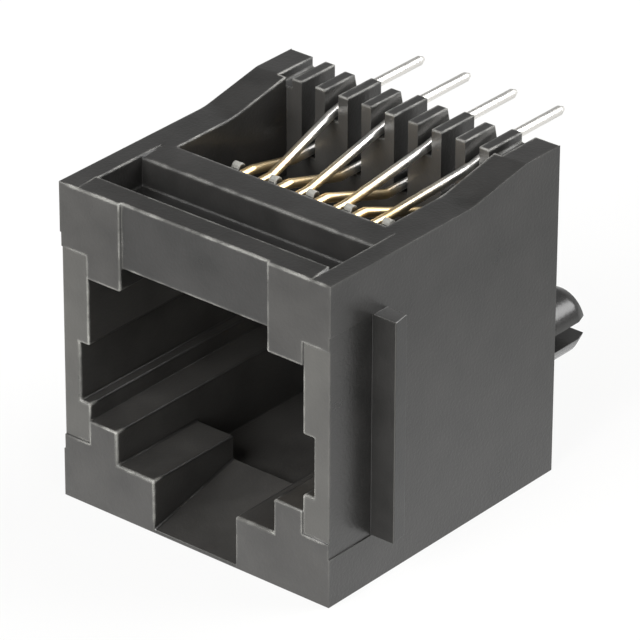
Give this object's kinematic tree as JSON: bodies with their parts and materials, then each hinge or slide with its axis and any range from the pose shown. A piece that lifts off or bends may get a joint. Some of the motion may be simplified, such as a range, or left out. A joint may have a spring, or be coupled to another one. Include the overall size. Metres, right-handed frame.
{
  "type": "ethernet jack",
  "caption": "Vertical board-mount modular jack: black moulded housing with a latched plug socket, wire contacts fanning over the top to a staggered comb, board pegs and panel stops.",
  "frame": {"origin": "middle of the latch side, which the jack lies on, half way from the mouth to the board face", "axes": "+Z from the latch side to the contact side, +Y from the mouth to the board face, +X to the right for someone who looks into the mouth"},
  "size_m": [0.017, 0.0189, 0.0156],
  "materials": {
    "housing_plastic": "moulded black polyester, satin",
    "contact_wire": "drawn phosphor bronze wire, gold plated"
  },
  "bodies": {
    "root": {"housing": "housing_plastic", "contact_1": "contact_wire", "contact_2": "contact_wire", "contact_3": "contact_wire", "contact_4": "contact_wire", "contact_5": "contact_wire", "contact_6": "contact_wire", "contact_7": "contact_wire", "contact_8": "contact_wire"}
  },
  "joints": []
}
